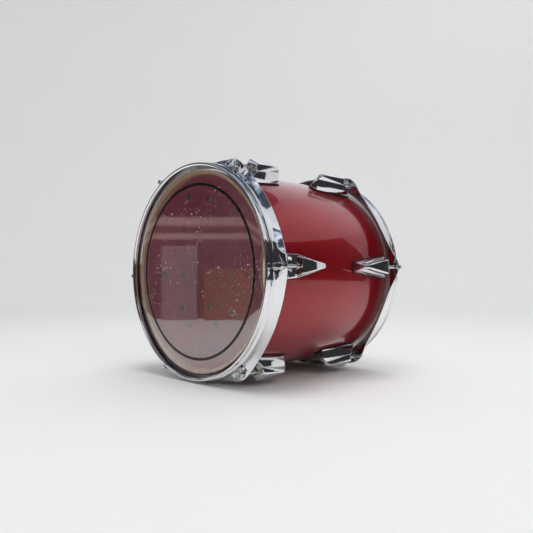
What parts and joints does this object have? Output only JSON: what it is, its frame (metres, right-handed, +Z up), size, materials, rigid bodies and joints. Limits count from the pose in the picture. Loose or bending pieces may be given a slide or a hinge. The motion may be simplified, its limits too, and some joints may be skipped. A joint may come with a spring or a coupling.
{
  "type": "tom tom drum",
  "caption": "Tom tom drum lying on its side: lacquered shell, clear tensioned heads under chrome hoops, cast lugs with square-headed rods, and a tom-arm bracket with a clamp bolt.",
  "frame": {"origin": "on the floor, under the middle of the drum", "axes": "+Y along the drum axis from the struck (batter) head to the resonant head, +Z up, +X out of the side away from the arm bracket"},
  "size_m": [0.3622, 0.3, 0.3317],
  "materials": {
    "shell": "high gloss lacquer over wood plies",
    "head_film": "clear gloss film with a printed ring",
    "flesh_hoop": "mill finish",
    "hoop_chrome": "mirror chrome plate",
    "lug_chrome": "chrome plated casting",
    "gasket": "matte",
    "insert_brass": "nickel washed brass",
    "rod_steel": "plated, worn bright",
    "bracket_metal": "polished casting",
    "vent_chrome": "chrome plate"
  },
  "bodies": {
    "drum_body": {"shell": "shell", "batter_head_film": "head_film", "lug_batter_1": "lug_chrome", "lug_pad_batter_1": "gasket", "insert_nut_batter_1": "insert_brass", "lug_batter_2": "lug_chrome", "lug_pad_batter_2": "gasket", "insert_nut_batter_2": "insert_brass", "lug_batter_3": "lug_chrome", "lug_pad_batter_3": "gasket", "insert_nut_batter_3": "insert_brass", "lug_batter_4": "lug_chrome", "lug_pad_batter_4": "gasket", "insert_nut_batter_4": "insert_brass", "lug_batter_5": "lug_chrome", "lug_pad_batter_5": "gasket", "insert_nut_batter_5": "insert_brass", "lug_batter_6": "lug_chrome", "lug_pad_batter_6": "gasket", "insert_nut_batter_6": "insert_brass", "resonant_head_film": "head_film", "lug_resonant_1": "lug_chrome", "lug_pad_resonant_1": "gasket", "insert_nut_resonant_1": "insert_brass", "lug_resonant_2": "lug_chrome", "lug_pad_resonant_2": "gasket", "insert_nut_resonant_2": "insert_brass", "lug_resonant_3": "lug_chrome", "lug_pad_resonant_3": "gasket", "insert_nut_resonant_3": "insert_brass", "lug_resonant_4": "lug_chrome", "lug_pad_resonant_4": "gasket", "insert_nut_resonant_4": "insert_brass", "lug_resonant_5": "lug_chrome", "lug_pad_resonant_5": "gasket", "insert_nut_resonant_5": "insert_brass", "lug_resonant_6": "lug_chrome", "lug_pad_resonant_6": "gasket", "insert_nut_resonant_6": "insert_brass", "arm_bracket": "bracket_metal", "arm_bracket_pad": "gasket", "vent_grommet": "vent_chrome"},
    "batter_hoop": {"batter_counterhoop": "hoop_chrome", "batter_flesh_hoop": "flesh_hoop"},
    "resonant_hoop": {"resonant_counterhoop": "hoop_chrome", "resonant_flesh_hoop": "flesh_hoop"},
    "batter_rod_1": {"tension_rod_batter_1": "rod_steel"},
    "batter_rod_2": {"tension_rod_batter_2": "rod_steel"},
    "batter_rod_3": {"tension_rod_batter_3": "rod_steel"},
    "batter_rod_4": {"tension_rod_batter_4": "rod_steel"},
    "batter_rod_5": {"tension_rod_batter_5": "rod_steel"},
    "batter_rod_6": {"tension_rod_batter_6": "rod_steel"},
    "resonant_rod_1": {"tension_rod_resonant_1": "rod_steel"},
    "resonant_rod_2": {"tension_rod_resonant_2": "rod_steel"},
    "resonant_rod_3": {"tension_rod_resonant_3": "rod_steel"},
    "resonant_rod_4": {"tension_rod_resonant_4": "rod_steel"},
    "resonant_rod_5": {"tension_rod_resonant_5": "rod_steel"},
    "resonant_rod_6": {"tension_rod_resonant_6": "rod_steel"},
    "wing_bolt": {"arm_bracket_wing_bolt": "rod_steel"}
  },
  "joints": [
    {"name": "batter_hoop_slide", "type": "slide", "parent": "drum_body", "child": "batter_hoop", "axis": [0, 1, 0], "range_m": [-0.0015, 0.0015]},
    {"name": "resonant_hoop_slide", "type": "slide", "parent": "drum_body", "child": "resonant_hoop", "axis": [0, -1, 0], "range_m": [-0.0015, 0.0015]},
    {"name": "batter_rod_1_turn", "type": "hinge", "parent": "batter_hoop", "child": "batter_rod_1", "pos_m": [0.17034, -0.14, 0.17328], "axis": [0, 1, 0], "range_deg": [-540, 540]},
    {"name": "batter_rod_2_turn", "type": "hinge", "parent": "batter_hoop", "child": "batter_rod_2", "pos_m": [0.07873, -0.14, 0.31708], "axis": [0, 1, 0], "range_deg": [-540, 540]},
    {"name": "batter_rod_3_turn", "type": "hinge", "parent": "batter_hoop", "child": "batter_rod_3", "pos_m": [-0.09161, -0.14, 0.30964], "axis": [0, 1, 0], "range_deg": [-540, 540]},
    {"name": "batter_rod_4_turn", "type": "hinge", "parent": "batter_hoop", "child": "batter_rod_4", "pos_m": [-0.17034, -0.14, 0.1584], "axis": [0, 1, 0], "range_deg": [-540, 540]},
    {"name": "batter_rod_5_turn", "type": "hinge", "parent": "batter_hoop", "child": "batter_rod_5", "pos_m": [-0.07873, -0.14, 0.01461], "axis": [0, 1, 0], "range_deg": [-540, 540]},
    {"name": "batter_rod_6_turn", "type": "hinge", "parent": "batter_hoop", "child": "batter_rod_6", "pos_m": [0.09161, -0.14, 0.02204], "axis": [0, 1, 0], "range_deg": [-540, 540]},
    {"name": "resonant_rod_1_turn", "type": "hinge", "parent": "resonant_hoop", "child": "resonant_rod_1", "pos_m": [0.17034, 0.14, 0.17328], "axis": [0, -1, 0], "range_deg": [-540, 540]},
    {"name": "resonant_rod_2_turn", "type": "hinge", "parent": "resonant_hoop", "child": "resonant_rod_2", "pos_m": [0.07873, 0.14, 0.31708], "axis": [0, -1, 0], "range_deg": [-540, 540]},
    {"name": "resonant_rod_3_turn", "type": "hinge", "parent": "resonant_hoop", "child": "resonant_rod_3", "pos_m": [-0.09161, 0.14, 0.30964], "axis": [0, -1, 0], "range_deg": [-540, 540]},
    {"name": "resonant_rod_4_turn", "type": "hinge", "parent": "resonant_hoop", "child": "resonant_rod_4", "pos_m": [-0.17034, 0.14, 0.1584], "axis": [0, -1, 0], "range_deg": [-540, 540]},
    {"name": "resonant_rod_5_turn", "type": "hinge", "parent": "resonant_hoop", "child": "resonant_rod_5", "pos_m": [-0.07873, 0.14, 0.01461], "axis": [0, -1, 0], "range_deg": [-540, 540]},
    {"name": "resonant_rod_6_turn", "type": "hinge", "parent": "resonant_hoop", "child": "resonant_rod_6", "pos_m": [0.09161, 0.14, 0.02204], "axis": [0, -1, 0], "range_deg": [-540, 540]},
    {"name": "wing_bolt_turn", "type": "hinge", "parent": "drum_body", "child": "wing_bolt", "pos_m": [-0.15637, -0.0395, 0.06623], "axis": [-0.8434, 0, -0.5373], "range_deg": [-360, 360]}
  ],
  "couplings": [
    {"joint": "batter_rod_1_turn", "follows": "batter_hoop_slide", "rad_per_m": 5936.9},
    {"joint": "batter_rod_2_turn", "follows": "batter_hoop_slide", "rad_per_m": 5936.9},
    {"joint": "batter_rod_3_turn", "follows": "batter_hoop_slide", "rad_per_m": 5936.9},
    {"joint": "batter_rod_4_turn", "follows": "batter_hoop_slide", "rad_per_m": 5936.9},
    {"joint": "batter_rod_5_turn", "follows": "batter_hoop_slide", "rad_per_m": 5936.9},
    {"joint": "batter_rod_6_turn", "follows": "batter_hoop_slide", "rad_per_m": 5936.9},
    {"joint": "resonant_rod_1_turn", "follows": "resonant_hoop_slide", "rad_per_m": 5936.9},
    {"joint": "resonant_rod_2_turn", "follows": "resonant_hoop_slide", "rad_per_m": 5936.9},
    {"joint": "resonant_rod_3_turn", "follows": "resonant_hoop_slide", "rad_per_m": 5936.9},
    {"joint": "resonant_rod_4_turn", "follows": "resonant_hoop_slide", "rad_per_m": 5936.9},
    {"joint": "resonant_rod_5_turn", "follows": "resonant_hoop_slide", "rad_per_m": 5936.9},
    {"joint": "resonant_rod_6_turn", "follows": "resonant_hoop_slide", "rad_per_m": 5936.9}
  ]
}
